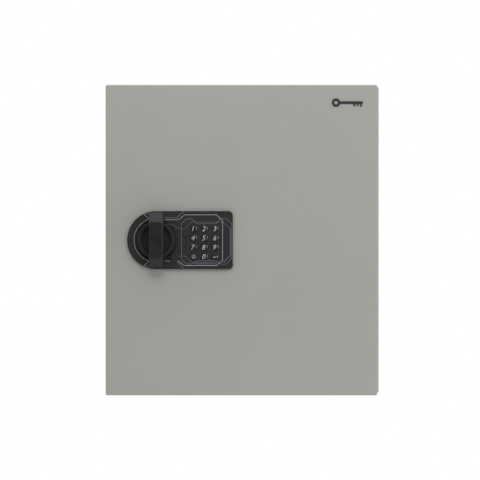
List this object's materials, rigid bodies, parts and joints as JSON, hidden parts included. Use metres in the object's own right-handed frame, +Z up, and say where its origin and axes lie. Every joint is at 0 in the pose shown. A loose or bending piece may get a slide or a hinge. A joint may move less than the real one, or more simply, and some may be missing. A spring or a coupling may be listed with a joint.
{
  "type": "key cabinet",
  "caption": "Wall-mounted steel key cabinet with a full-height hinged door, a rotary-knob electronic keypad lock and rows of key hooks inside.",
  "frame": {"origin": "centre of the back face, which lies against the wall", "axes": "+X to the right seen from the front, +Y into the wall, +Z up"},
  "size_m": [0.3522, 0.1316, 0.4],
  "materials": {
    "painted_steel": "grey powder coat",
    "zinc_steel": "zinc plated",
    "cast_zinc": "die cast",
    "rubber": "matte",
    "black_plastic": "satin moulded",
    "key_plastic": "satin moulded",
    "lamp_plastic": "smoked",
    "housing_plastic": "fine textured",
    "bush_plastic": "natural acetal",
    "board": "green solder mask",
    "cell_wrap": "printed sleeve",
    "copper_winding": "enamelled wire",
    "lead_plastic": "insulated wire",
    "label_plastic": "printed card"
  },
  "bodies": {
    "root": {"case_wrap": "painted_steel", "case_top": "painted_steel", "case_bottom": "painted_steel", "strike_plate": "zinc_steel", "door_buffers": "rubber", "hinge_leaf_case": "painted_steel", "hinge_pin": "painted_steel", "hook_rail_1": "painted_steel", "hook_rail_2": "painted_steel", "hook_rail_3": "painted_steel", "hook_rail_4": "painted_steel", "hook_rail_5": "painted_steel", "key_hooks": "zinc_steel", "label_strips": "label_plastic", "rail_studs": "zinc_steel", "rail_nuts": "zinc_steel"},
    "door": {"door_panel": "painted_steel", "hinge_leaf_door": "painted_steel", "badge": "black_plastic", "lock_plate": "black_plastic", "keypad_board": "board", "snap_domes": "zinc_steel", "led_windows": "lamp_plastic", "plate_screws": "zinc_steel", "cover_pivot": "zinc_steel", "cylinder_body": "zinc_steel", "spindle_bush": "bush_plastic", "bolt_bracket": "zinc_steel", "bolt_guides": "zinc_steel", "solenoid_frame": "zinc_steel", "solenoid_coil": "copper_winding", "plunger_spring": "zinc_steel", "lock_base": "housing_plastic", "lock_housing": "housing_plastic", "housing_screws": "zinc_steel", "main_board": "board", "battery_tray": "housing_plastic", "batteries": "cell_wrap", "inner_leads": "lead_plastic"},
    "knob": {"knob": "black_plastic", "spindle": "zinc_steel", "drive_cam": "cast_zinc", "cam_screw": "zinc_steel"},
    "bolt": {"bolt": "zinc_steel"},
    "plunger": {"plunger": "zinc_steel"},
    "key_cover": {"key_cover": "black_plastic"},
    "cylinder_plug": {"cylinder_plug": "cast_zinc"},
    "battery_cover": {"battery_cover": "housing_plastic"},
    "key_1": {"key_1": "key_plastic"},
    "key_2": {"key_2": "key_plastic"},
    "key_3": {"key_3": "key_plastic"},
    "key_4": {"key_4": "key_plastic"},
    "key_5": {"key_5": "key_plastic"},
    "key_6": {"key_6": "key_plastic"},
    "key_7": {"key_7": "key_plastic"},
    "key_8": {"key_8": "key_plastic"},
    "key_9": {"key_9": "key_plastic"},
    "key_power": {"key_power": "key_plastic"},
    "key_0": {"key_0": "key_plastic"},
    "key_enter": {"key_enter": "key_plastic"}
  },
  "joints": [
    {"name": "door_hinge", "type": "hinge", "parent": "root", "child": "door", "pos_m": [0.1754, -0.0818, 0], "axis": [0, 0, 1], "range_deg": [0, 180]},
    {"name": "knob_turn", "type": "hinge", "parent": "door", "child": "knob", "pos_m": [-0.1097, -0.11, 0], "axis": [0, 1, 0], "range_deg": [0, 90]},
    {"name": "bolt_slide", "type": "slide", "parent": "door", "child": "bolt", "axis": [-1, 0, 0], "range_m": [0, 0.014]},
    {"name": "plunger_drop", "type": "slide", "parent": "door", "child": "plunger", "axis": [0, 0, -1], "range_m": [0, 0.0045], "stiffness_N_per_m": 150},
    {"name": "cover_swing", "type": "hinge", "parent": "door", "child": "key_cover", "pos_m": [-0.0867, -0.108, -0.0176], "axis": [0, -1, 0], "range_deg": [0, 120]},
    {"name": "plug_turn", "type": "hinge", "parent": "door", "child": "cylinder_plug", "pos_m": [-0.0867, -0.1, -0.0237], "axis": [0, 1, 0], "range_deg": [0, 90]},
    {"name": "battery_cover_slide", "type": "slide", "parent": "door", "child": "battery_cover", "axis": [1, 0, 0], "range_m": [0, 0.06]},
    {"name": "key_1_press", "type": "slide", "parent": "door", "child": "key_1", "axis": [0, 1, 0], "range_m": [0, 0.0007], "stiffness_N_per_m": 400},
    {"name": "key_2_press", "type": "slide", "parent": "door", "child": "key_2", "axis": [0, 1, 0], "range_m": [0, 0.0007], "stiffness_N_per_m": 400},
    {"name": "key_3_press", "type": "slide", "parent": "door", "child": "key_3", "axis": [0, 1, 0], "range_m": [0, 0.0007], "stiffness_N_per_m": 400},
    {"name": "key_4_press", "type": "slide", "parent": "door", "child": "key_4", "axis": [0, 1, 0], "range_m": [0, 0.0007], "stiffness_N_per_m": 400},
    {"name": "key_5_press", "type": "slide", "parent": "door", "child": "key_5", "axis": [0, 1, 0], "range_m": [0, 0.0007], "stiffness_N_per_m": 400},
    {"name": "key_6_press", "type": "slide", "parent": "door", "child": "key_6", "axis": [0, 1, 0], "range_m": [0, 0.0007], "stiffness_N_per_m": 400},
    {"name": "key_7_press", "type": "slide", "parent": "door", "child": "key_7", "axis": [0, 1, 0], "range_m": [0, 0.0007], "stiffness_N_per_m": 400},
    {"name": "key_8_press", "type": "slide", "parent": "door", "child": "key_8", "axis": [0, 1, 0], "range_m": [0, 0.0007], "stiffness_N_per_m": 400},
    {"name": "key_9_press", "type": "slide", "parent": "door", "child": "key_9", "axis": [0, 1, 0], "range_m": [0, 0.0007], "stiffness_N_per_m": 400},
    {"name": "key_power_press", "type": "slide", "parent": "door", "child": "key_power", "axis": [0, 1, 0], "range_m": [0, 0.0007], "stiffness_N_per_m": 400},
    {"name": "key_0_press", "type": "slide", "parent": "door", "child": "key_0", "axis": [0, 1, 0], "range_m": [0, 0.0007], "stiffness_N_per_m": 400},
    {"name": "key_enter_press", "type": "slide", "parent": "door", "child": "key_enter", "axis": [0, 1, 0], "range_m": [0, 0.0007], "stiffness_N_per_m": 400}
  ],
  "couplings": [
    {"joint": "bolt_slide", "follows": "knob_turn", "m_per_rad": 0.0089127}
  ]
}
